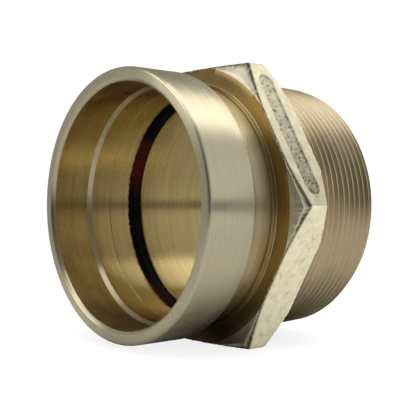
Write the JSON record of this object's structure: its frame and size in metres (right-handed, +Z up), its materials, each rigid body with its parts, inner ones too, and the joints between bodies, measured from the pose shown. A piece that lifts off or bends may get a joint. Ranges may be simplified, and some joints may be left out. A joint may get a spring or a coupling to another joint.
{
  "type": "camlock adapter",
  "caption": "Male cam-and-groove pipe adapter: a plain round nose with a cam groove, a hexagon, a male taper pipe thread, a stepped through bore and an inner seal ring.",
  "frame": {"origin": "centre of the nose's flat sealing face, on the flow axis", "axes": "+X along the flow axis from the nose to the threaded end, +Z up through the middle of one flat of the hexagon"},
  "size_m": [0.0651, 0.0908, 0.079],
  "materials": {
    "cast_brass": "machined on the nose, groove, bores and thread, as cast on the hexagon's flats",
    "seal_rubber": "matt black, stained dark red-brown"
  },
  "bodies": {
    "adapter": {"adapter_body": "cast_brass"},
    "seal": {"seal_ring": "seal_rubber"}
  },
  "joints": [
    {"name": "seal_slide", "type": "slide", "parent": "adapter", "child": "seal", "axis": [-1, 0, 0], "range_m": [0, 0.045]}
  ]
}
